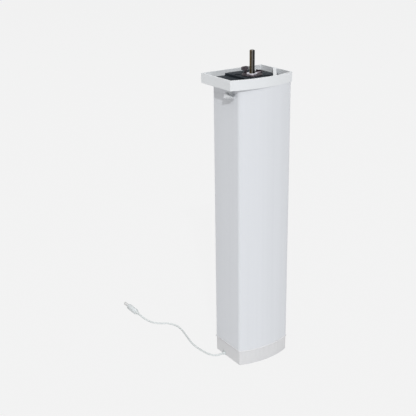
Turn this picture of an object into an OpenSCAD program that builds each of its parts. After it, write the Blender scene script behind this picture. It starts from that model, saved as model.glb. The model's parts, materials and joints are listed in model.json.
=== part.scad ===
// Column drive motor for a shutter or curtain track: a D-shaped aluminium column with an upright
// drive pin in a shallow open frame, a locking lever round the pin and a thin supply lead.
// The origin is the middle of the drive pin's axis on the surface that the column stands on.
// +Z is up, -Y is the curved front, and the frame overhangs towards -X.

/* [Column] */
// Width of the column between its flat sides
body_w = 62; // [61:0.5:64]
// Depth of the flat sides
side_d = 43; // [43:0.5:46]
// How far the curved front stands out past the flat sides
front_rise = 6; // [5:0.5:7]
// Wall thickness of the extruded column
wall = 2; // [1.8:0.1:2.2]
// Height from the standing surface to the top of the frame
total_h = 300; // [300:5:360]
// Height of the bottom cap
cap_h = 17.2; // [16:0.2:20]

/* [Frame] */
// Height of the frame on top of the column
frame_h = 9.6; // [9:0.2:10]
// How far the frame overhangs the left side
frame_over_left = 9.8; // [8:0.2:14]
// How far the frame overhangs the back
frame_over_back = 5; // [4:0.2:8]
// Thickness of the frame's upright walls
frame_wall = 1.4; // [1.2:0.1:1.6]

/* [Drive pin and lever] */
// Diameter of the drive pin
pin_d = 5; // [4.8:0.1:5.2]
// Height of the drive pin's end above the frame
pin_above = 21; // [15:1:25]
// Outer diameter of the locking lever's ring
lever_ring_d = 20; // [19:0.5:21]
// Height of the lever's hook above the frame
hook_above = 4; // [3:0.5:6]

/* [Gears] */
// Module of every gear
gear_m = 0.6; // [0.59:0.01:0.61]
// Play taken off each tooth's thickness
backlash = 0.14; // [0.1:0.02:0.2]

/* [Supply lead] */
// Diameter of the lead
lead_d = 2; // [1.8:0.1:2.2]
// Diameter of the plug's moulded body
plug_d = 6.4; // [6:0.2:7]
// Diameter of the plug's metal barrel
barrel_d = 3.5; // [3:0.1:4]

/* [Hidden] */

round_fn = 96;
small_fn = 32;
arc_fn = 240;

// Column outline: flat back and sides, and a front that is one arc.
half_w = body_w / 2;
half_side = side_d / 2;
body_arc_r = (half_w * half_w + front_rise * front_rise) / (2 * front_rise);
body_arc_y = body_arc_r - half_side - front_rise;

// Frame outline: the same form, longer at the left and deeper at the back.
frame_x0 = -half_w - frame_over_left;
frame_x1 = half_w + 0.3;
frame_y_back = half_side + frame_over_back;
frame_front = half_side + 0.3;
frame_rise = front_rise + 0.3;
frame_mid = (frame_x0 + frame_x1) / 2;
frame_half = (frame_x1 - frame_x0) / 2;
frame_arc_r = (frame_half * frame_half + frame_rise * frame_rise) / (2 * frame_rise);
frame_arc_y = frame_arc_r - frame_front - frame_rise;
frame_z = total_h - frame_h;
frame_floor_t = 2;
frame_floor_z = frame_z + frame_floor_t;
plate_top_z = frame_floor_z + 2.4;
plate_gap = 0.2;
block_top_z = plate_top_z + 2.2;
block_half = 14.2;
block_front = -17;
block_back = frame_y_back - frame_wall - 2 * plate_gap;
pocket_x = 23;
pocket_y = 18.5;

// Screw channels in the column's corners.
channel_x = half_w - 4.8;
channel_back = half_side - 5.1;
channel_front = -half_side + 3.3;
channel_r = 3.2;
column_screw_r = 1.2;
column_head_r = 2.7;
column_head_h = 1.6;
screw_way_r = 1.6;
head_way_r = 3;
cap_head_z = 2.2;
cap_screw_end = 27;
frame_head_z = plate_top_z - 1.7;
channels = [[-channel_x, channel_front], [channel_x, channel_front],
    [-channel_x, channel_back], [channel_x, channel_back]];

// Drive train, stacked down from the frame.
shaft_r = 4;
pin_r = pin_d / 2;
neck_r = pin_r + 0.5;
running = 0.05;
bush_body_r = 6.5;
bush_neck_r = 4.4;
plate_head_z = block_top_z - 2.8;
bush_flange_z = block_top_z + 1.3;
head_z = block_top_z - 23;
head_hub_z = head_z + 10;
bearing_r = 8;
bearing_h = 5;
race_out_r = 6.9;
race_in_r = 5.1;
ball_orbit = 6;
ball_r = 1.15;
bearings = [head_z, head_hub_z + 1];
clip_z = head_hub_z + 6.2;
clip_t = 0.7;
clip_groove_r = 3.6;
hub_r = 9.5;
bush_seat_z = head_hub_z + 9;
case_z = head_z - 32;
flange_z = case_z - 4;
can_z = flange_z - 70;
motor_r = 17.5;
gear_r = 18.5;
sun_teeth = 12;
planet_teeth = 18;
ring_teeth = 48;
sun_bore_r = 0.8;
planet_orbit = gear_m * (sun_teeth + planet_teeth) / 2;
stage1_z = case_z + 1.6;
planet_h = 8;
stage2_z = head_z - 5.4 - planet_h;
pin_hole_r = 1.3;
planet_pin_r = 1.22;
carrier_r = 12.6;
plate_screw_orbit = 14;
plate_screw_head_r = 2.75;
plate_screw_head_h = 2.2;
plate_screw_r = 1.4;
case_screw_orbit = 16.5;
case_screw_head_h = 1.6;
motor_screw_orbit = 10;
motor_screw_head_h = 1.5;
motor_head_z = case_z - 1.7;
core_z0 = can_z + 14;
core_z1 = flange_z - 16;
slots = 5;
slot_w = 3;
commutator_r = 4.2;
can_wall = 1.2;
core_r = 12;
motor_bush_r = 4;
rotor_r = 1.6;
rear_z = can_z - 6;

// Electronics.
board_y = 6;
board_t = 1.6;
board_z0 = 36;
board_z1 = can_z - 24;
board_half = 28;
board_back = board_y + board_t;
tongue_half = 8;
tongue_z = 4;
button_z = 9;
button_travel = 0.8;
button_r = 2.6;

// Route of the supply lead from the grommet to the plug, which lie on the standing surface.
grommet_l = 7;
grommet_half = 2.3;
grommet_h = 4.3;
boss_r = 1.6;
exit_y = 6.5;
exit_z = 1.8;
exit_x = -half_w - 1.5;
rest_z = lead_d / 2 + 0.1;
plug_z = plug_d / 2 + 0.05;
plug_x = -64;
plug_y = 134;
lead_route = [[exit_x, exit_y, exit_z], [-34.5, exit_y, exit_z], [-38.5, 7.4, 1.3], [-42, 10, rest_z],
    [-44.8, 15, rest_z], [-46.5, 23, rest_z], [-47.6, 32.5, rest_z], [-47.3, 43, rest_z],
    [-45, 55.5, rest_z], [-42, 69, rest_z], [-40.2, 80.5, rest_z], [-41.5, 91, rest_z],
    [-46, 98.5, rest_z], [-53, 103.5, rest_z], [-58.6, 110, rest_z], [-61.5, 118, 1.3],
    [-63, 125, 2.2], [plug_x, plug_y - 2.5, plug_z], [plug_x, plug_y, plug_z]];
inner_route = [[-23.9, exit_y, 3.7], [-22.5, exit_y, 3.7], [-21.3, exit_y, 4.2], [-19.3, 7.4, 8],
    [-17, 9, 15], [-15.5, 10.2, 25], [-15, 10.6, 35], [-15, 10.6, 38]];

module d_shape(inset = 0) {
    intersection() {
        translate([-half_w + inset, -half_side - front_rise - 1])
            square([body_w - 2 * inset, side_d + front_rise + 1 - inset]);
        translate([0, body_arc_y]) circle(r = body_arc_r - inset, $fn = arc_fn);
    }
}

module frame_shape(inset = 0) {
    intersection() {
        translate([frame_x0 + inset, -frame_front - frame_rise])
            square([frame_x1 - frame_x0 - 2 * inset, frame_front + frame_rise + frame_y_back - inset]);
        translate([frame_mid, frame_arc_y]) circle(r = frame_arc_r - inset, $fn = arc_fn);
    }
}

module tube(r_out, r_in, z0, z1) {
    translate([0, 0, z0]) difference() {
        cylinder(r = r_out, h = z1 - z0, $fn = round_fn);
        translate([0, 0, -1]) cylinder(r = r_in, h = z1 - z0 + 2, $fn = round_fn);
    }
}

module rod(r, z0, z1) {
    translate([0, 0, z0]) cylinder(r = r, h = z1 - z0, $fn = small_fn);
}

module box(x0, x1, y0, y1, z0, z1) {
    translate([x0, y0, z0]) cube([x1 - x0, y1 - y0, z1 - z0]);
}

module at_channels() {
    for (p = channels) translate([p[0], p[1], 0]) children();
}

module at_orbit(count, r, start = 0) {
    for (i = [0 : count - 1]) rotate([0, 0, start + i * 360 / count]) translate([r, 0, 0]) children();
}

// A screw standing on its tip: head on top, cross recess in the head.
module screw(head_r, head_h, shank_r, z_tip, z_head) {
    rod(shank_r, z_tip, z_head);
    difference() {
        rod(head_r, z_head, z_head + head_h);
        for (a = [0, 90]) rotate([0, 0, a])
            box(-head_r * 0.6, head_r * 0.6, -0.35, 0.35, z_head + head_h * 0.5, z_head + head_h + 1);
    }
}

// Involute gear teeth, as points of one closed outline.
function involute(a) = tan(a) * 180 / PI - a;
function half_tooth(r, pitch_r, base_r, teeth, thinner) =
    90 / teeth - thinner / (2 * pitch_r) * 180 / PI + involute(20)
    - involute(acos(min(1, base_r / max(r, base_r))));
function tooth_radii(r0, r1) = [for (k = [0 : 4]) r0 + (r1 - r0) * k / 4];
function polar(r, a) = [r * cos(a), r * sin(a)];

function gear_points(teeth, r0, r1, thinner) =
    let (pitch_r = gear_m * teeth / 2, base_r = pitch_r * cos(20), radii = tooth_radii(r0, r1))
    [for (i = [0 : teeth - 1])
        for (k = [0 : 9])
            let (
                r = k < 5 ? radii[k] : radii[9 - k],
                h = half_tooth(r, pitch_r, base_r, teeth, thinner)
            )
            polar(r, i * 360 / teeth + (k < 5 ? -h : h))];

module gear(teeth, height, bore_r, turn = 0) {
    pitch_r = gear_m * teeth / 2;
    linear_extrude(height = height) difference() {
        rotate(turn) polygon(gear_points(teeth, pitch_r - 1.2 * gear_m, pitch_r + 0.85 * gear_m, backlash));
        circle(r = bore_r, $fn = small_fn);
    }
}

// One tube along a route: smooth points, rings square to the path, and flat ends.
function spline(p0, p1, p2, p3, t) =
    0.5 * (2 * p1 + (p2 - p0) * t + (2 * p0 - 5 * p1 + 4 * p2 - p3) * t * t
    + (3 * p1 - p0 - 3 * p2 + p3) * t * t * t);
function smooth(route, steps) = concat(
    [for (i = [0 : len(route) - 2]) for (k = [0 : steps - 1])
        spline(route[max(i - 1, 0)], route[i], route[i + 1], route[min(i + 2, len(route) - 1)], k / steps)],
    [route[len(route) - 1]]);
function unit(v) = v / norm(v);
function heading(path, i) = unit(path[min(i + 1, len(path) - 1)] - path[max(i - 1, 0)]);
function ring_points(path, i, r, sides, up) =
    let (d = heading(path, i), s = unit(cross(d, up)), t = cross(s, d))
    [for (k = [0 : sides - 1]) path[i] + r * cos(k * 360 / sides) * s + r * sin(k * 360 / sides) * t];

module swept_tube(route, r, steps, up) {
    path = smooth(route, steps);
    rings = len(path);
    sides = 8;
    points = [for (i = [0 : rings - 1]) each ring_points(path, i, r, sides, up)];
    walls = [for (i = [0 : rings - 2]) for (k = [0 : sides - 1])
        let (n = (k + 1) % sides)
        [i * sides + k, (i + 1) * sides + k, (i + 1) * sides + n, i * sides + n]];
    start = [[for (k = [0 : sides - 1]) k]];
    finish = [[for (k = [0 : sides - 1]) (rings - 1) * sides + sides - 1 - k]];
    polyhedron(points = points, faces = concat(start, finish, walls));
}

module housing_profile() {
    rail = 3;
    rail_t = 1.2;
    rail_gap = 0.2;
    color([0.93, 0.94, 0.95]) translate([0, 0, cap_h]) linear_extrude(height = frame_z - cap_h)
        difference() {
            union() {
                difference() {
                    d_shape(0);
                    d_shape(wall);
                }
                intersection() {
                    d_shape(wall / 2);
                    for (p = channels) translate(p) circle(r = channel_r, $fn = small_fn);
                }
                for (s = [-1, 1]) for (y = [board_y - rail_gap - rail_t, board_back + rail_gap])
                    translate([s * (half_w - wall - rail / 2 + 0.1) - rail / 2, y])
                        square([rail, rail_t]);
            }
            for (p = channels) translate(p) circle(r = column_screw_r + 0.05, $fn = small_fn);
        }
}

module bottom_cap() {
    lip = 4;
    lip_wall = 1.7;
    floor_t = 2.5;
    foot_h = 0.8;
    foot_step = 1;
    side_step = 0.6;
    bead_h = 1.2;
    bead_proud = 0.4;
    rail_room = 2.6;
    color([0.88, 0.89, 0.88]) difference() {
        union() {
            translate([0, 0, foot_h]) linear_extrude(height = cap_h - foot_h) d_shape(side_step);
            translate([0, 0, cap_h - bead_h]) linear_extrude(height = bead_h) d_shape(-bead_proud);
            linear_extrude(height = foot_h) d_shape(foot_step);
            translate([0, 0, cap_h]) linear_extrude(height = lip) difference() {
                d_shape(wall + 0.1);
                for (p = channels) translate(p) circle(r = channel_r + 0.3, $fn = small_fn);
            }
        }
        difference() {
            translate([0, 0, floor_t]) linear_extrude(height = cap_h + lip) d_shape(wall + 0.1 + lip_wall);
            at_channels() rod(channel_r, 0, cap_h);
        }
        at_channels() rod(screw_way_r, -1, cap_h + 1);
        at_channels() rod(head_way_r, -1, cap_head_z);
        box(-half_w - 1, -half_w + grommet_l, exit_y - grommet_half - 0.1, exit_y + grommet_half + 0.1,
            -1, grommet_h + 0.1);
        translate([0, half_side + 1, button_z]) rotate([90, 0, 0])
            cylinder(r = button_r + 0.3, h = 10, $fn = small_fn);
        for (s = [-1, 1]) box(s * (half_w - wall) - 3.4, s * (half_w - wall) + 3.4, board_y - rail_room,
            board_back + rail_room, cap_h, cap_h + lip + 1);
    }
}

module cap_screws() {
    color([0.55, 0.56, 0.58]) at_channels() mirror([0, 0, 1])
        screw(column_head_r, column_head_h, column_screw_r, -cap_screw_end, 0.1 - cap_head_z);
}

// The open frame: a shallow tray that the end of the track sits in.
module top_frame() {
    rib_x = 5.8;
    rib_a = 53;
    rib_t = 3.2;
    color([0.93, 0.94, 0.95]) difference() {
        union() {
            difference() {
                translate([0, 0, frame_z]) linear_extrude(height = frame_h) frame_shape(0);
                translate([0, 0, frame_floor_z]) linear_extrude(height = frame_h) frame_shape(frame_wall);
            }
            intersection() {
                translate([0, 0, frame_floor_z - 1]) linear_extrude(height = total_h - frame_floor_z + 1)
                    frame_shape(frame_wall / 2);
                translate([rib_x, -frame_front - frame_rise, plate_top_z]) rotate([0, 0, rib_a])
                    box(0, 60, -rib_t / 2, rib_t / 2, 0, total_h - plate_top_z - 0.3);
            }
            side_catch();
        }
        box(-pocket_x, pocket_x, -pocket_y, pocket_y, frame_z - 1, frame_floor_z + 1);
        box(-block_half - plate_gap, block_half + plate_gap, block_front - plate_gap, block_back,
            plate_top_z - 1, block_top_z + plate_gap);
        at_channels() rod(screw_way_r, frame_z - 1, frame_floor_z + 1);
    }
}

// The catch under the overhang: a stem with a wedge-shaped nose that stands out to the left.
module side_catch() {
    nose_out = 7;
    nose_l = 5;
    nose_z = 9.2;
    nose_tilt = 18;
    stem_out = 3.5;
    translate([-half_w - nose_out, 0, frame_z - nose_z]) rotate([0, nose_tilt, 0]) rotate([90, 0, 90])
        linear_extrude(height = nose_l) polygon([[-6.5, 5.4], [-6.5, 0], [-17.7, 2.7]]);
    box(-half_w - stem_out, -half_w, -12, -7.2, frame_z - 7.6, frame_z + 0.5);
}

module frame_screws() {
    color([0.3, 0.3, 0.32]) at_channels()
        screw(column_head_r, column_head_h, column_screw_r, frame_z - 12, frame_head_z);
}

module head_plate() {
    color([0.13, 0.15, 0.17]) difference() {
        union() {
            translate([0, 0, frame_floor_z]) linear_extrude(height = plate_top_z - frame_floor_z)
                intersection() {
                    frame_shape(frame_wall + plate_gap);
                    translate([-half_w + 1, -body_w]) square([2 * body_w, 2 * body_w]);
                }
            box(-pocket_x + plate_gap, pocket_x - plate_gap, -pocket_y + plate_gap,
                pocket_y - plate_gap, head_hub_z, frame_floor_z);
            box(-block_half, block_half, block_front, block_back, plate_top_z, block_top_z);
        }
        rod_bore(hub_r, head_hub_z - 1, bush_seat_z);
        rod_bore(bush_body_r, bush_seat_z - 1, block_top_z + 1);
        at_orbit(4, plate_screw_orbit, 45) rod(plate_screw_r + 0.1, head_hub_z - 1, block_top_z + 1);
        at_orbit(4, plate_screw_orbit, 45) rod(head_way_r, plate_head_z, block_top_z + 1);
        at_channels() rod(screw_way_r, frame_floor_z - 1, plate_top_z + 1);
        at_channels() rod(head_way_r, frame_head_z, plate_top_z + 1);
    }
}

module rod_bore(r, z0, z1) {
    translate([0, 0, z0]) cylinder(r = r, h = z1 - z0, $fn = round_fn);
}

module head_plate_screws() {
    color([0.3, 0.3, 0.32]) at_orbit(4, plate_screw_orbit, 45)
        screw(plate_screw_head_r, plate_screw_head_h, plate_screw_r, head_z + 2, plate_head_z);
}

// The bright bush that the pin turns in; the lever turns on its neck.
module flange_bush() {
    flange_r = 5.25;
    flange_t = 0.8;
    color([0.85, 0.85, 0.88]) difference() {
        union() {
            rod_bore(hub_r, bush_seat_z - 1.6, bush_seat_z);
            rod_bore(bush_body_r, bush_seat_z, block_top_z);
            rod_bore(bush_neck_r, block_top_z, bush_flange_z);
            rod_bore(flange_r, bush_flange_z, bush_flange_z + flange_t);
        }
        rod_bore(shaft_r + running, bush_seat_z - 3, block_top_z - 1.5);
        rod_bore(neck_r + running, bush_seat_z - 3, bush_flange_z + 2);
    }
}

module locking_lever() {
    lever_z = block_top_z + 0.2;
    lever_t = 1;
    hook_a = 97;
    hook_r = 10;
    neck_t = 1.2;
    handle_a = 27;
    handle_r = 17;
    handle_half = 3;
    color([0.5, 0.48, 0.5]) {
        difference() {
            union() {
                rod_bore(lever_ring_d / 2, lever_z, lever_z + lever_t);
                rotate([0, 0, handle_a])
                    box(0, handle_r, -handle_half, handle_half, lever_z, lever_z + lever_t);
                rotate([0, 0, handle_a]) translate([handle_r, 0, 0])
                    rod_bore(handle_half, lever_z, lever_z + lever_t);
                rotate([0, 0, hook_a]) box(0, hook_r + neck_t, -2.8, 1.6, lever_z, lever_z + lever_t);
            }
            rod_bore(bush_neck_r + running, lever_z - 1, lever_z + lever_t + 1);
            rotate([0, 0, 173]) translate([7.2, 0, 0]) rod(1.1, lever_z - 1, lever_z + lever_t + 1);
        }
        rotate([0, 0, hook_a]) {
            box(hook_r, hook_r + neck_t, -2.6, -0.2, lever_z + lever_t, total_h + 1);
            hull() for (s = [-1, 1]) for (z = [total_h + 1.7, total_h + hook_above - 1])
                translate([hook_r - 0.4, s * 2.7, z]) rotate([0, 90, 0])
                    cylinder(r = 1, h = 1.8, $fn = small_fn);
        }
        rotate([0, 0, handle_a])
            box(14.4, 15.6, -handle_half, handle_half, lever_z + lever_t, total_h - 0.4);
    }
}

// The drive pin and the thicker shaft below it, in one turned piece with a flat on the pin.
module output_shaft() {
    chamfer = 0.6;
    flat_depth = 0.4;
    flat_a = 40;
    flat_z = total_h + 12;
    shoulder_z = block_top_z - 1.8;
    neck_z = total_h - 0.6;
    pin_z = total_h + pin_above;
    color([0.72, 0.72, 0.74]) difference() {
        union() {
            rod_bore(shaft_r, head_z - 2, shoulder_z);
            rod_bore(neck_r, shoulder_z, neck_z);
            rod_bore(pin_r, neck_z, pin_z - chamfer);
            translate([0, 0, pin_z - chamfer])
                cylinder(r1 = pin_r, r2 = pin_r - chamfer, h = chamfer, $fn = round_fn);
        }
        tube(shaft_r + 1, clip_groove_r, clip_z, clip_z + clip_t);
        rotate([0, 0, flat_a]) box(pin_r - flat_depth, pin_r + 1, -pin_r, pin_r, flat_z, pin_z + 1);
    }
}

module output_carrier() {
    color([0.6, 0.6, 0.62]) difference() {
        rod_bore(carrier_r, head_z - 5, head_z - 1);
        rod_bore(shaft_r, head_z - 2, head_z);
        at_orbit(3, planet_orbit) rod(planet_pin_r, head_z - 8, head_z + 2);
    }
}

module planet_pins(z0, z1) {
    color([0.75, 0.75, 0.77]) at_orbit(3, planet_orbit) rod(planet_pin_r, z0, z1);
}

module stage2_pins() {
    planet_pins(stage2_z - 0.4, head_z - 1);
}

// A planet at one of three places round the sun, turned so that its teeth fit the gaps.
module planet(place, z) {
    color([0.8, 0.74, 0.55]) rotate([0, 0, place * 120]) translate([planet_orbit, 0, z])
        gear(planet_teeth, planet_h, pin_hole_r, 180 / planet_teeth);
}

module bearing_outer_rings() {
    color([0.8, 0.8, 0.82]) for (z = bearings) difference() {
        tube(bearing_r, race_out_r, z, z + bearing_h);
        ball_groove(z);
    }
}

module bearing_inner_rings() {
    color([0.8, 0.8, 0.82]) for (z = bearings) difference() {
        tube(race_in_r, shaft_r, z, z + bearing_h);
        ball_groove(z);
    }
}

module ball_groove(z) {
    translate([0, 0, z + bearing_h / 2]) rotate_extrude($fn = round_fn)
        translate([ball_orbit, 0]) circle(r = ball_r + 0.1, $fn = small_fn);
}

module bearing_balls() {
    color([0.9, 0.9, 0.92]) for (z = bearings)
        at_orbit(9, ball_orbit) translate([0, 0, z + bearing_h / 2]) sphere(r = ball_r, $fn = small_fn);
}

module shaft_circlip() {
    color([0.25, 0.25, 0.27]) difference() {
        tube(shaft_r + 1.6, clip_groove_r, clip_z, clip_z + clip_t);
        box(0, 8, -1.5, 1.5, clip_z - 1, clip_z + 2);
    }
}

module gearbox_head() {
    color([0.62, 0.63, 0.65]) difference() {
        union() {
            rod_bore(gear_r, head_z, head_hub_z);
            rod_bore(hub_r, head_hub_z, head_hub_z + 6);
        }
        rod_bore(bearing_r, head_z - 1, head_z + bearing_h);
        rod_bore(bearing_r, head_hub_z + 1, head_hub_z + 7);
        rod_bore(6.2, head_z - 1, head_hub_z + 7);
        at_orbit(4, plate_screw_orbit, 45) rod(plate_screw_r, head_z + 1, head_hub_z + 1);
        at_orbit(4, case_screw_orbit, 0) rod(1.05, head_z - 1, head_hub_z + 1);
        at_orbit(4, case_screw_orbit, 0) rod(1.85, head_hub_z - case_screw_head_h, head_hub_z + 1);
    }
}

module gearbox_case() {
    ring_r = gear_m * ring_teeth / 2;
    color([0.55, 0.56, 0.58]) translate([0, 0, case_z]) linear_extrude(height = head_z - case_z)
        difference() {
            circle(r = gear_r, $fn = round_fn);
            rotate(180 / ring_teeth)
                polygon(gear_points(ring_teeth, ring_r - 0.85 * gear_m, ring_r + 1.2 * gear_m, -backlash));
            for (a = [0 : 90 : 270]) rotate(a) translate([case_screw_orbit, 0])
                circle(r = 1.05, $fn = small_fn);
        }
}

module gearbox_screws() {
    color([0.7, 0.7, 0.72]) at_orbit(4, case_screw_orbit, 0)
        screw(1.8, case_screw_head_h, 1, flange_z + 1, head_hub_z - case_screw_head_h);
}

module stage1_carrier() {
    carrier_z = stage1_z + planet_h + 0.4;
    color([0.6, 0.6, 0.62]) difference() {
        union() {
            rod_bore(carrier_r, carrier_z, carrier_z + 3);
            translate([0, 0, carrier_z + 3])
                gear(sun_teeth, stage2_z + planet_h - carrier_z - 3.2, sun_bore_r);
        }
        rod_bore(sun_bore_r, carrier_z - 1, head_z);
        at_orbit(3, planet_orbit) rod(planet_pin_r, carrier_z - 1, carrier_z + 2.4);
    }
}

module stage1_pins() {
    planet_pins(stage1_z - 0.4, stage1_z + planet_h + 2.8);
}

module motor_pinion() {
    color([0.75, 0.66, 0.4]) translate([0, 0, case_z + 1]) gear(sun_teeth, planet_h + 0.8, rotor_r);
}

module motor_front() {
    color([0.62, 0.63, 0.65]) difference() {
        rod_bore(gear_r, flange_z, case_z);
        rod_bore(motor_bush_r, flange_z - 1, case_z + 1);
        at_orbit(4, case_screw_orbit, 0) rod(1, flange_z + 1, case_z + 1);
        at_orbit(2, motor_screw_orbit, 45) rod(1.1, flange_z - 1, case_z + 1);
        at_orbit(2, motor_screw_orbit, 45) rod(2, motor_head_z, case_z + 1);
    }
}

module motor_screws() {
    color([0.7, 0.7, 0.72]) at_orbit(2, motor_screw_orbit, 45)
        screw(1.9, motor_screw_head_h, 1, flange_z - 1.5, motor_head_z);
}

module motor_can() {
    color([0.7, 0.71, 0.73]) difference() {
        rod_bore(motor_r, can_z, flange_z);
        rod_bore(motor_r - can_wall, can_z - 1, flange_z - 1.5);
        rod_bore(motor_bush_r, can_z - 1, flange_z + 1);
        at_orbit(2, motor_screw_orbit, 45) rod(1, flange_z - 3, flange_z + 1);
    }
}

module motor_magnets() {
    color([0.25, 0.25, 0.27]) difference() {
        tube(motor_r - can_wall, core_r + 0.7, can_z + 10, flange_z - 12);
        for (s = [-1, 1]) box(-5, 5, s * 15 - 10, s * 15 + 10, can_z, flange_z);
    }
}

module motor_bushes() {
    color([0.78, 0.62, 0.36]) {
        tube(motor_bush_r, rotor_r + running, flange_z - 1.5, case_z - 0.2);
        tube(motor_bush_r, rotor_r + running, rear_z, can_z - 1.5);
    }
}

module rotor_shaft() {
    color([0.75, 0.75, 0.77]) rod_bore(rotor_r, rear_z - 5, case_z + 1 + planet_h + 0.4);
}

module rotor_core() {
    color([0.45, 0.45, 0.48]) difference() {
        tube(core_r, rotor_r, core_z0, core_z1);
        at_orbit(slots) box(6, core_r + 1, -slot_w / 2, slot_w / 2, can_z, flange_z);
    }
}

module rotor_windings() {
    end_r = 10.5;
    hub = 4.4;
    color([0.72, 0.36, 0.14]) {
        tube(end_r, hub, core_z1, core_z1 + 6);
        tube(end_r, hub, core_z0 - 5, core_z0);
        at_orbit(slots) box(6, core_r - 0.5, -slot_w / 2, slot_w / 2, core_z0, core_z1);
    }
}

module commutator() {
    cut = 0.4;
    color([0.8, 0.5, 0.3]) difference() {
        tube(commutator_r, rotor_r, can_z + 0.5, core_z0 - 5);
        at_orbit(slots) box(commutator_r - 0.6, commutator_r + 1, -cut / 2, cut / 2, can_z, can_z + 7);
    }
}

module brush_cap() {
    color([0.16, 0.16, 0.18]) difference() {
        union() {
            rod_bore(motor_r, rear_z, can_z);
            tube(motor_r - can_wall - 0.1, 14.4, can_z, can_z + 6);
            for (s = [-1, 1]) box(s * 10.5 - 4.5, s * 10.5 + 4.5, -3.2, 3.2, can_z, can_z + 6.4);
            for (s = [-1, 1]) translate([s * 12, 0, 0]) rod(2, rear_z - 8, rear_z);
        }
        rod_bore(motor_bush_r, rear_z - 1, can_z - 1.5);
        rod_bore(2.2, rear_z - 1, can_z + 1);
        box(-16, 16, -2, 2, can_z + 1, can_z + 5);
    }
}

module carbon_brushes() {
    color([0.2, 0.2, 0.2]) for (s = [-1, 1])
        box(s * 8.5 - 4.2, s * 8.5 + 4.2, -2, 2, can_z + 1, can_z + 5);
}

module encoder_magnet() {
    color([0.3, 0.3, 0.33]) tube(6, rotor_r, rear_z - 4.6, rear_z - 1.2);
}

module encoder_board() {
    color([0.1, 0.35, 0.2]) box(-16, 16, -8, 8, rear_z - 9.6, rear_z - 8);
    color([0.1, 0.1, 0.11]) box(-2.5, 2.5, -2.5, 2.5, rear_z - 8, rear_z - 6.8);
}

module rubber_mounts() {
    color([0.12, 0.12, 0.13]) for (z = [can_z + 6, flange_z - 14])
        tube(half_side - wall, motor_r, z, z + 8);
}

module control_board() {
    color([0.1, 0.35, 0.2]) {
        box(-board_half, board_half, board_y, board_back, board_z0, board_z1);
        box(-tongue_half, tongue_half, board_y, board_back, tongue_z, board_z0);
    }
}

module board_chips() {
    color([0.1, 0.1, 0.11]) {
        box(-8, 4, board_y - 1.8, board_y, 70, 82);
        box(9, 17, board_y - 1.6, board_y, 92, 98);
        for (z = [48 : 6 : 66]) box(12, 16, board_y - 1.4, board_y, z, z + 3);
        for (x = [-20 : 5 : 0]) box(x, x + 3, board_y - 1, board_y, 108, 110);
    }
    color([0.75, 0.76, 0.78]) box(-22, -6, board_back, board_back + 2.4, 92, 116);
}

module board_capacitors() {
    color([0.15, 0.2, 0.35]) for (z = [54, 68]) translate([-18, board_y, z]) rotate([90, 0, 0])
        cylinder(r = 5, h = 14, $fn = small_fn);
}

module driver_heat_sink() {
    color([0.6, 0.61, 0.63]) {
        box(4, 26, board_y - 4, board_y, 102, 118);
        for (x = [4 : 4 : 24]) box(x, x + 1.6, board_y - 12, board_y - 4, 102, 118);
    }
}

module board_sockets() {
    color([0.92, 0.9, 0.84]) {
        box(-20, -10, board_back, board_back + 6, 38, 46);
        box(-6, 6, board_back, board_back + 6, board_z1 - 9, board_z1 - 1);
    }
}

module setting_switch() {
    color([0.15, 0.15, 0.16]) {
        box(-3, 3, board_back, board_back + 3.4, button_z - 3, button_z + 3);
        translate([0, board_back + 3.4, button_z]) rotate([-90, 0, 0])
            cylinder(r = 1.7, h = 0.8, $fn = small_fn);
    }
}

module setting_button() {
    back = half_side;
    stem_end = board_back + 4.2 + button_travel + 0.1;
    color([0.8, 0.81, 0.82]) translate([0, 0, button_z]) rotate([90, 0, 0]) {
        translate([0, 0, -back - 0.9]) cylinder(r = button_r, h = back - stem_end + 0.9, $fn = small_fn);
        translate([0, 0, -(back - wall - 2.2)]) cylinder(r = 3.7, h = 1.4, $fn = small_fn);
    }
}

module inner_lead() {
    color([0.85, 0.86, 0.88]) swept_tube(inner_route, lead_d / 2, 5, [0, 1, 0]);
}

module motor_leads() {
    color([0.1, 0.1, 0.12]) for (s = [-1, 1])
        box(s * 3 - 0.6, s * 3 + 0.6, board_y + 4, board_y + 5.2, board_z1 - 1, rear_z);
}

module lead_grommet() {
    color([0.85, 0.86, 0.87]) {
        box(-half_w + 0.2, -half_w + grommet_l, exit_y - grommet_half, exit_y + grommet_half,
            0.1, grommet_h);
        translate([exit_x, exit_y, exit_z]) rotate([0, 90, 0])
            cylinder(r = boss_r, h = 1.8, $fn = small_fn);
    }
}

module supply_lead() {
    color([0.88, 0.89, 0.9]) swept_tube(lead_route, lead_d / 2, 4, [0, 0, 1]);
}

module along_plug(y0) {
    translate([plug_x, y0, plug_z]) rotate([-90, 0, 0]) children();
}

module plug_relief() {
    color([0.88, 0.89, 0.9]) along_plug(plug_y) cylinder(r1 = 1.3, r2 = 2.2, h = 6, $fn = small_fn);
}

module plug_body() {
    r = plug_d / 2;
    color([0.9, 0.91, 0.92]) along_plug(plug_y + 6) {
        cylinder(r1 = r - 0.6, r2 = r, h = 1.2, $fn = small_fn);
        translate([0, 0, 1.2]) cylinder(r = r, h = 15.6, $fn = small_fn);
        translate([0, 0, 16.8]) cylinder(r1 = r, r2 = r - 0.6, h = 1.2, $fn = small_fn);
    }
}

module plug_barrel() {
    color([0.78, 0.78, 0.8]) along_plug(plug_y + 24) difference() {
        cylinder(r = barrel_d / 2, h = 9.5, $fn = small_fn);
        translate([0, 0, 1]) cylinder(r = 0.7, h = 9, $fn = small_fn);
    }
}

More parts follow.
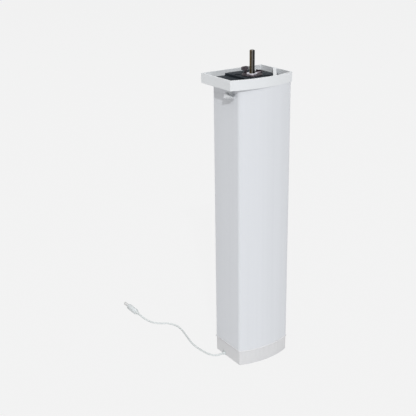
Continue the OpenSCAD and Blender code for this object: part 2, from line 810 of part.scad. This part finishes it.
housing_profile();
bottom_cap();
cap_screws();
top_frame();
frame_screws();
head_plate();
head_plate_screws();
flange_bush();
locking_lever();
output_shaft();
output_carrier();
stage2_pins();
planet(0, stage2_z);  // stage2_planet_a
planet(1, stage2_z);  // stage2_planet_b
planet(2, stage2_z);  // stage2_planet_c
bearing_outer_rings();
bearing_inner_rings();
bearing_balls();
shaft_circlip();
gearbox_head();
gearbox_case();
gearbox_screws();
stage1_carrier();
stage1_pins();
planet(0, stage1_z);  // stage1_planet_a
planet(1, stage1_z);  // stage1_planet_b
planet(2, stage1_z);  // stage1_planet_c
motor_pinion();
motor_front();
motor_screws();
motor_can();
motor_magnets();
motor_bushes();
rotor_shaft();
rotor_core();
rotor_windings();
commutator();
brush_cap();
carbon_brushes();
encoder_magnet();
encoder_board();
rubber_mounts();
control_board();
board_chips();
board_capacitors();
driver_heat_sink();
board_sockets();
setting_switch();
setting_button();
inner_lead();
motor_leads();
lead_grommet();
supply_lead();
plug_relief();
plug_body();
plug_barrel();
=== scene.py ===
"""Looks of the column drive motor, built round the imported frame. All lengths are metres."""

import json
import math

import bmesh
import bpy
from mathutils import Matrix, Vector


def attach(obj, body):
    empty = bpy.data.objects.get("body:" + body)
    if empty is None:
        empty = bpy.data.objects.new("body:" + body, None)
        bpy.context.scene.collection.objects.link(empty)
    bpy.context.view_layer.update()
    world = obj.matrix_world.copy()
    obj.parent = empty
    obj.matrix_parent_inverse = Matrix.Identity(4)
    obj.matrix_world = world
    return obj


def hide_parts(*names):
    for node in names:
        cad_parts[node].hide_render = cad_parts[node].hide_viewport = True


MM = 0.001

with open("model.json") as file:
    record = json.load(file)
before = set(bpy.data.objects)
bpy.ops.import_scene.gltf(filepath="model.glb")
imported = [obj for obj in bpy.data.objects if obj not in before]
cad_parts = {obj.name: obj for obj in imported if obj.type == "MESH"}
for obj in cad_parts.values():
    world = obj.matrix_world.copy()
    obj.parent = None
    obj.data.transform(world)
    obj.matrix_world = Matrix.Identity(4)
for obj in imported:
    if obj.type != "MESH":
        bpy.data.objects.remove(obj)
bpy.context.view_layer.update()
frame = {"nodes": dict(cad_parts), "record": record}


# ---------------------------------------------------------------- camera
CAMERA_PLACE = (-0.4576, -0.6189, 0.4484)
CAMERA_TURN_DEG = (33.2, 20.4, 0.92)
SENSOR_MM = 36
LENS_MM = 70.2
CLIP = (0.01, 500)


def make_camera():
    """The view: from the object's left front, looking down on it. The turn is yaw, pitch, roll."""
    yaw, pitch, roll = (math.radians(angle) for angle in CAMERA_TURN_DEG)
    flat_look = Vector((math.sin(yaw), math.cos(yaw), 0))
    right = Vector((math.cos(yaw), -math.sin(yaw), 0))
    look = flat_look * math.cos(pitch) - Vector((0, 0, 1)) * math.sin(pitch)
    up = flat_look * math.sin(pitch) + Vector((0, 0, 1)) * math.cos(pitch)
    turned_right = right * math.cos(roll) - up * math.sin(roll)
    turned_up = right * math.sin(roll) + up * math.cos(roll)
    data = bpy.data.cameras.new("camera")
    data.sensor_width = SENSOR_MM
    data.lens = LENS_MM
    data.clip_start, data.clip_end = CLIP
    camera = bpy.data.objects.new("camera", data)
    bpy.context.scene.collection.objects.link(camera)
    place = Matrix((turned_right, turned_up, -look)).transposed().to_4x4()
    place.translation = Vector(CAMERA_PLACE)
    camera.matrix_world = place
    bpy.context.scene.camera = camera


make_camera()


# ---------------------------------------------------------------- materials
class Nodes:
    """A small helper that adds and links shader nodes."""

    def __init__(self, name):
        self.material = bpy.data.materials.new(name)
        self.material.use_nodes = True
        self.tree = self.material.node_tree
        self.shader = self.tree.nodes["Principled BSDF"]
        self.coords = self.tree.nodes.new("ShaderNodeTexCoord")

    def add(self, kind, **values):
        node = self.tree.nodes.new(kind)
        for key, value in values.items():
            if key in node.inputs:
                node.inputs[key].default_value = value
            else:
                setattr(node, key, value)
        return node

    def link(self, source, target):
        self.tree.links.new(source, target)

    def stretched(self, scale):
        """Object coordinates stretched by a different scale along each axis."""
        mapping = self.add("ShaderNodeMapping")
        mapping.inputs["Scale"].default_value = scale
        self.link(self.coords.outputs["Object"], mapping.inputs["Vector"])
        return mapping.outputs["Vector"]

    def noise(self, scale, detail=3, vector=None):
        node = self.add("ShaderNodeTexNoise", Scale=scale, Detail=detail)
        self.link(vector or self.coords.outputs["Object"], node.inputs["Vector"])
        return node.outputs["Fac"]

    def ramp(self, source, low, high, color_low, color_high):
        node = self.add("ShaderNodeValToRGB")
        node.color_ramp.elements[0].position = low
        node.color_ramp.elements[1].position = high
        node.color_ramp.elements[0].color = (*color_low, 1)
        node.color_ramp.elements[1].color = (*color_high, 1)
        self.link(source, node.inputs["Fac"])
        return node.outputs["Color"]

    def levels(self, source, low, high):
        node = self.add("ShaderNodeMapRange")
        node.inputs["To Min"].default_value = low
        node.inputs["To Max"].default_value = high
        self.link(source, node.inputs["Value"])
        return node.outputs["Result"]

    def bump(self, height, strength, distance, under=None):
        node = self.add("ShaderNodeBump", Strength=strength, Distance=distance)
        self.link(height, node.inputs["Height"])
        if under is not None:
            self.link(under, node.inputs["Normal"])
        return node.outputs["Normal"]


def shade(color, by):
    return tuple(min(1.0, max(0.0, c * by)) for c in color)


def moulded(name, color, rough=0.5, grain=2200, depth=0.00003, spread=0.03, sheen_ior=1.46):
    """Moulded plastic: a fine spark-eroded grain, slow colour drift and uneven gloss."""
    n = Nodes(name)
    n.shader.inputs["IOR"].default_value = sheen_ior
    drift = n.noise(38, 4)
    n.link(n.ramp(drift, 0.3, 0.7, shade(color, 1 - spread), shade(color, 1 + spread)),
           n.shader.inputs["Base Color"])
    n.link(n.levels(n.noise(160, 3), rough - 0.07, rough + 0.07), n.shader.inputs["Roughness"])
    n.link(n.bump(n.noise(grain, 2), 0.35, depth), n.shader.inputs["Normal"])
    return n.material


def powder_coat(name, color):
    """Satin powder coat on an extrusion: orange peel over faint lines along the extrusion."""
    n = Nodes(name)
    n.shader.inputs["IOR"].default_value = 1.5
    n.shader.inputs["Coat Weight"].default_value = 0.12
    n.shader.inputs["Coat Roughness"].default_value = 0.35
    bands = n.noise(230, 3, n.stretched((1, 1, 0.01)))
    n.link(n.ramp(bands, 0.3, 0.7, shade(color, 0.984), shade(color, 1.014)),
           n.shader.inputs["Base Color"])
    n.link(n.levels(n.noise(90, 3), 0.36, 0.48), n.shader.inputs["Roughness"])
    lines = n.bump(n.noise(420, 2, n.stretched((1, 1, 0.004))), 0.12, 0.00004)
    n.link(n.bump(n.noise(1500, 2), 0.3, 0.00003, lines), n.shader.inputs["Normal"])
    return n.material


def metal(name, color, rough=0.3, stretch=(1, 1, 1), grain=900, spread=0.12, depth=0.00002,
          mirror=1.0):
    """Bare metal: fine marks, drawn out along one axis by the stretch, and stained a little."""
    n = Nodes(name)
    n.shader.inputs["Metallic"].default_value = mirror
    marks = n.noise(grain, 3, n.stretched(stretch))
    stain = n.noise(70, 4)
    n.link(n.ramp(stain, 0.3, 0.7, shade(color, 1 - spread), shade(color, 1 + spread)),
           n.shader.inputs["Base Color"])
    n.link(n.levels(marks, rough - 0.08, rough + 0.1), n.shader.inputs["Roughness"])
    n.link(n.bump(marks, 0.4, depth), n.shader.inputs["Normal"])
    return n.material


def pin_with_painted_reflection(name):
    """Turned steel with a painted reflection: upright bands from olive brown through grey to near black
    run across the pin along the view's left-to-right axis.
    """
    n = Nodes(name)
    n.shader.inputs["Metallic"].default_value = 1.0
    n.shader.inputs["Roughness"].default_value = 0.34
    # Painted reflection: the colour bands are laid out along the view's left-to-right axis, standing in
    # for the surroundings mirrored in the pin.
    across = n.add("ShaderNodeVectorMath", operation="DOT_PRODUCT")
    n.link(n.coords.outputs["Object"], across.inputs[0])
    across.inputs[1].default_value = PIN_PAINTED_REFLECTION_AXIS
    place = n.add("ShaderNodeMapRange")
    place.inputs["From Min"].default_value = -PIN_RADIUS
    place.inputs["From Max"].default_value = PIN_RADIUS
    n.link(across.outputs["Value"], place.inputs["Value"])
    wander = n.add("ShaderNodeMath", operation="MULTIPLY_ADD")
    n.link(n.noise(900, 3, n.stretched((1, 1, 0.12))), wander.inputs[0])
    wander.inputs[1].default_value = 0.16
    n.link(place.outputs["Result"], wander.inputs[2])
    painted_reflection_ramp = n.add("ShaderNodeValToRGB")
    ramp = painted_reflection_ramp.color_ramp
    ramp.elements[0].position = PIN_PAINTED_REFLECTION_BANDS[0][0]
    ramp.elements[0].color = (*PIN_PAINTED_REFLECTION_BANDS[0][1], 1)
    ramp.elements[1].position = PIN_PAINTED_REFLECTION_BANDS[-1][0]
    ramp.elements[1].color = (*PIN_PAINTED_REFLECTION_BANDS[-1][1], 1)
    for position, color in PIN_PAINTED_REFLECTION_BANDS[1:-1]:
        ramp.elements.new(position).color = (*color, 1)
    n.link(wander.outputs["Value"], painted_reflection_ramp.inputs["Fac"])
    n.link(painted_reflection_ramp.outputs["Color"], n.shader.inputs["Base Color"])
    marks = n.noise(1200, 2, n.stretched((1, 1, 12)))
    n.link(n.bump(marks, 0.3, 0.00001), n.shader.inputs["Normal"])
    return n.material


PIN_RADIUS = 2.5 * MM
# The axis of the pin's painted reflection is the view's left-to-right direction. Its bands are painted
# reflection: olive brown at the left, grey in the middle and near black at the right.
PIN_PAINTED_REFLECTION_AXIS = (0.837, -0.548, 0.0)
PIN_PAINTED_REFLECTION_BANDS = [
    (0.06, (0.32, 0.30, 0.24)), (0.24, (0.10, 0.065, 0.02)), (0.40, (0.09, 0.065, 0.04)),
    (0.54, (0.27, 0.25, 0.22)), (0.66, (0.16, 0.155, 0.15)), (0.80, (0.05, 0.05, 0.048)),
    (1.0, (0.025, 0.025, 0.022))]


def build_materials():
    """One material for each slot of the record. The stretches run the marks round or along Z."""
    turned = (1, 1, 14)
    drawn = (1, 1, 0.03)
    smooth_pvc = (2600, 0.000003, 0.02, 1.2)
    return {
        "white_coating": powder_coat("white_powder_coat", (0.645, 0.66, 0.69)),
        "white_plastic": moulded("white_frame_plastic", (0.69, 0.705, 0.72), 0.42, spread=0.012),
        "cap_plastic": moulded("off_white_cap_plastic", (0.65, 0.65, 0.66), 0.5, spread=0.02),
        "black_plastic": moulded("black_glass_filled_nylon", (0.014, 0.019, 0.025), 0.6, 1500,
                                 sheen_ior=1.3),
        "dark_screws": metal("black_oxide_steel", (0.06, 0.06, 0.07), 0.35, turned),
        "zinc_screws": metal("zinc_plated_steel", (0.55, 0.57, 0.6), 0.3, turned),
        "lever_steel": metal("pressed_lever_steel", (0.27, 0.235, 0.26), 0.34, (1, 6, 1)),
        "bright_steel": metal("polished_steel", (0.66, 0.66, 0.68), 0.16, turned, 1200, 0.05),
        # The pin's base colour is a painted reflection in upright bands.
        "pin_steel": pin_with_painted_reflection("pin_steel_painted_reflection"),
        "bush_steel": metal("satin_bush_steel", (0.88, 0.87, 0.92), 0.55, turned, 1200, 0.04),
        "gear_steel": metal("sintered_gear_steel", (0.36, 0.36, 0.38), 0.42),
        "gear_polymer": moulded("natural_acetal", (0.72, 0.68, 0.56), 0.4, 900),
        "die_cast": metal("die_cast_zinc", (0.5, 0.51, 0.53), 0.45, depth=0.00005),
        "can_steel": metal("drawn_can_steel", (0.55, 0.56, 0.58), 0.28, drawn),
        "magnet": moulded("sintered_ferrite", (0.05, 0.05, 0.055), 0.6, 700),
        "bronze": metal("sintered_bronze", (0.6, 0.42, 0.2), 0.36, turned),
        "core_steel": metal("laminated_steel", (0.3, 0.3, 0.32), 0.4, (1, 1, 60)),
        "copper": metal("enamelled_copper", (0.62, 0.27, 0.12), 0.3, (1, 1, 30)),
        "carbon": moulded("carbon_graphite", (0.03, 0.03, 0.032), 0.55, 900),
        "rubber": moulded("black_rubber", (0.025, 0.025, 0.027), 0.72, 800),
        "board": moulded("green_solder_mask", (0.02, 0.13, 0.06), 0.3, 600),
        "component_black": moulded("black_component_epoxy", (0.02, 0.02, 0.022), 0.45, 1500),
        "heat_sink": metal("extruded_aluminium", (0.6, 0.61, 0.63), 0.32, drawn),
        "socket_nylon": moulded("natural_nylon", (0.75, 0.72, 0.62), 0.45, 900),
        "lead_jacket": moulded("white_pvc_jacket", (0.60, 0.625, 0.625), 0.62, *smooth_pvc),
        "plug_moulding": moulded("white_plug_pvc", (0.60, 0.625, 0.63), 0.6, *smooth_pvc),
        "plug_metal": metal("nickel_plated_brass", (0.66, 0.66, 0.66), 0.6, (1, 14, 1), mirror=0.3),
    }


MATERIALS = build_materials()
SLOT_OF = {row["node"]: row["material_slot"] for row in frame["record"]["subparts"]}
BODY_OF = {n: body for body, nodes in frame["record"]["behaviour"]["bodies"].items() for n in nodes}


# ---------------------------------------------------------------- mesh helpers
CORNER_LENGTH = 100 * MM
CAP_TOP = 17.2 * MM
CAP_STEPS = 1.2 * MM
NEAR = 0.1 * MM
WELD = 0.002 * MM
FLAT = math.radians(1)
CREASE = math.radians(28)
ROUND_STEPS = 6


def column_corners(edges, points):
    """The long upright edges at the two outermost sides."""
    widest = max(abs(p.x) for p in points) - NEAR
    return [e for e in edges if e.calc_length() > CORNER_LENGTH
            and min(abs(v.co.x) for v in e.verts) > widest]


def cap_rim_and_corners(edges, points):
    """The outermost edges where the cap meets the column, and the cap's own upright corners."""
    level = [p for p in points if abs(p.z - CAP_TOP) < NEAR]
    widest = max(abs(p.x) for p in level) - CAP_STEPS
    chosen = []
    for edge in edges:
        a, b = (v.co for v in edge.verts)
        along = (b - a).normalized()
        if abs(along.z) > 0.9 and min(abs(a.x), abs(b.x)) > widest:
            chosen.append(edge)
        elif max(abs(a.z - CAP_TOP), abs(b.z - CAP_TOP)) < NEAR:
            sides = [along.cross(p - a).z for p in level]
            if min(sides) > -NEAR or max(sides) < NEAR:
                chosen.append(edge)
    return chosen


ROUNDED_FIRST = {
    "housing_profile": (2.4 * MM, column_corners), "bottom_cap": (0.9 * MM, cap_rim_and_corners)}


def finish_piece(piece, slot, body, replaced):
    """Gives a new piece the material of its slot and its body, and hides the CAD node that it stands
    for.
    """
    piece.data.materials.clear()
    piece.data.materials.append(MATERIALS[slot])
    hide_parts(replaced)
    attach(piece, body)
    return piece


def softened(node, width, segments=2):
    """A finer copy of a CAD node: its flat faces are merged and every sharp edge is rounded."""
    source = frame["nodes"][node]
    mesh = source.data.copy()
    piece = bpy.data.objects.new(node + "_finished", mesh)
    bpy.context.scene.collection.objects.link(piece)
    bm = bmesh.new()
    bm.from_mesh(mesh)
    bmesh.ops.remove_doubles(bm, verts=bm.verts, dist=WELD)
    bmesh.ops.dissolve_limit(bm, angle_limit=FLAT, verts=bm.verts, edges=bm.edges)
    if node in ROUNDED_FIRST:
        radius, choose = ROUNDED_FIRST[node]
        edges = choose(bm.edges, [v.co.copy() for v in bm.verts])
        bmesh.ops.bevel(bm, geom=edges, offset=radius, segments=ROUND_STEPS, profile=0.5, affect="EDGES")
    bm.to_mesh(mesh)
    bm.free()
    bevel = piece.modifiers.new("rounded_edges", "BEVEL")
    bevel.width = width
    bevel.segments = segments
    bevel.limit_method = "ANGLE"
    bevel.angle_limit = CREASE
    bevel.use_clamp_overlap = True
    bevel.harden_normals = True
    for polygon in mesh.polygons:
        polygon.use_smooth = True
    mesh.set_sharp_from_angle(angle=CREASE)
    return finish_piece(piece, SLOT_OF[node], BODY_OF[node], node)


# ---------------------------------------------------------------- the lead
LEAD_RADIUS = 1.0 * MM
LEAD_STEPS = 8
REST_Z = 1.1
PLUG_Z = 3.25
PLUG_EDGE = 0.25 * MM
LEAD_ROUTE = [
    (-32.5, 6.5, 1.8), (-34.5, 6.5, 1.8), (-38.5, 7.4, 1.3), (-42, 10, REST_Z),
    (-44.8, 15, REST_Z), (-46.5, 23, REST_Z), (-47.6, 32.5, REST_Z), (-47.3, 43, REST_Z),
    (-45, 55.5, REST_Z), (-42, 69, REST_Z), (-40.2, 80.5, REST_Z), (-41.5, 91, REST_Z),
    (-46, 98.5, REST_Z), (-53, 103.5, REST_Z), (-58.6, 110, REST_Z), (-61.5, 118, 1.3),
    (-63, 125, 2.2), (-64, 131.5, PLUG_Z), (-64, 134, PLUG_Z)]


def smooth_route(route, steps):
    """Points of a smooth curve through the route, the same rule as the CAD tube follows."""
    points = [Vector(p) * MM for p in route]
    last = len(points) - 1
    found = []
    for i in range(last):
        a, b = points[max(i - 1, 0)], points[i]
        c, d = points[i + 1], points[min(i + 2, last)]
        for k in range(steps):
            t = k / steps
            found.append(0.5 * (2 * b + (c - a) * t + (2 * a - 5 * b + 4 * c - d) * t * t
                                + (3 * b - a - 3 * c + d) * t * t * t))
    found.append(points[last])
    return found


def make_lead():
    points = smooth_route(LEAD_ROUTE, LEAD_STEPS)
    curve = bpy.data.curves.new("supply_lead_jacket", "CURVE")
    curve.dimensions = "3D"
    curve.bevel_depth = LEAD_RADIUS
    curve.bevel_resolution = 6
    spline = curve.splines.new("POLY")
    spline.points.add(len(points) - 1)
    for target, point in zip(spline.points, points):
        target.co = (*point, 1)
    spline.use_smooth = True
    lead = bpy.data.objects.new("supply_lead_jacket", curve)
    bpy.context.scene.collection.objects.link(lead)
    finish_piece(lead, "lead_jacket", "column", "supply_lead")
    length = sum((q - p).length for p, q in zip(points, points[1:]))
    return lead, points[0], length


lead, lead_exit, lead_length = make_lead()
plug_pieces = [softened(n, PLUG_EDGE, 3) for n in ("plug_body", "plug_barrel", "plug_relief")]


# ---------------------------------------------------------------- outer pieces
WIDE_EDGE = 0.3
EDGES = {
    "housing_profile": 0.3, "bottom_cap": 0.35, "top_frame": 0.45, "head_plate": 0.4,
    "frame_screws": 0.2, "head_plate_screws": 0.2, "cap_screws": 0.2, "flange_bush": 0.25,
    "locking_lever": 0.3, "output_shaft": 0.2, "lead_grommet": 0.4, "setting_button": 0.3}
for node, width in EDGES.items():
    softened(node, width * MM, 4 if width > WIDE_EDGE else 2)

for node, thing in frame["nodes"].items():
    thing.data.materials.clear()
    thing.data.materials.append(MATERIALS[SLOT_OF[node]])


# ---------------------------------------------------------------- stage and light
FLOOR_HALF = 150
FLOOR_GLOW = 0.87
SUN_STRENGTH = 1.98
SUN_ANGLE_DEG = 1.2
SUN_TRAVEL = (10.1, 18.9, -15)
WORLD_STRENGTH = 0.12
OVERHEAD_WATTS = 50
OVERHEAD_SIZE = 4.0
OVERHEAD_PLACE = (0, 0.1, 1.9)


def make_floor():
    """A very large pale floor that mostly glows, so that only a faint shadow shows on it."""
    bm = bmesh.new()
    bmesh.ops.create_grid(bm, x_segments=4, y_segments=4, size=FLOOR_HALF)
    mesh = bpy.data.meshes.new("floor")
    bm.to_mesh(mesh)
    bm.free()
    floor = bpy.data.objects.new("floor", mesh)
    bpy.context.scene.collection.objects.link(floor)
    n = Nodes("pale_floor")
    n.shader.inputs["Base Color"].default_value = (0.02, 0.02, 0.02, 1)
    n.shader.inputs["Roughness"].default_value = 0.9
    n.shader.inputs["Specular IOR Level"].default_value = 0.0
    n.shader.inputs["Emission Color"].default_value = (1, 1, 1, 1)
    n.shader.inputs["Emission Strength"].default_value = FLOOR_GLOW
    mesh.materials.append(n.material)


def make_light():
    bpy.context.scene.view_settings.view_transform = "Standard"
    sun = bpy.data.lights.new("key", "SUN")
    sun.energy = SUN_STRENGTH
    sun.angle = math.radians(SUN_ANGLE_DEG)
    sun.color = (0.97, 0.985, 1.0)
    key = bpy.data.objects.new("key", sun)
    key.rotation_euler = Vector(SUN_TRAVEL).to_track_quat("-Z", "Y").to_euler()
    bpy.context.scene.collection.objects.link(key)
    world = bpy.data.worlds.new("studio")
    bpy.context.scene.world = world
    world.use_nodes = True
    back = world.node_tree.nodes["Background"]
    back.inputs["Color"].default_value = (1.0, 0.99, 0.95, 1)
    back.inputs["Strength"].default_value = WORLD_STRENGTH
    soft = bpy.data.lights.new("overhead", "AREA")
    soft.shape = "DISK"
    soft.size = OVERHEAD_SIZE
    soft.energy = OVERHEAD_WATTS
    top = bpy.data.objects.new("overhead", soft)
    top.location = OVERHEAD_PLACE
    bpy.context.scene.collection.objects.link(top)


make_floor()
make_light()
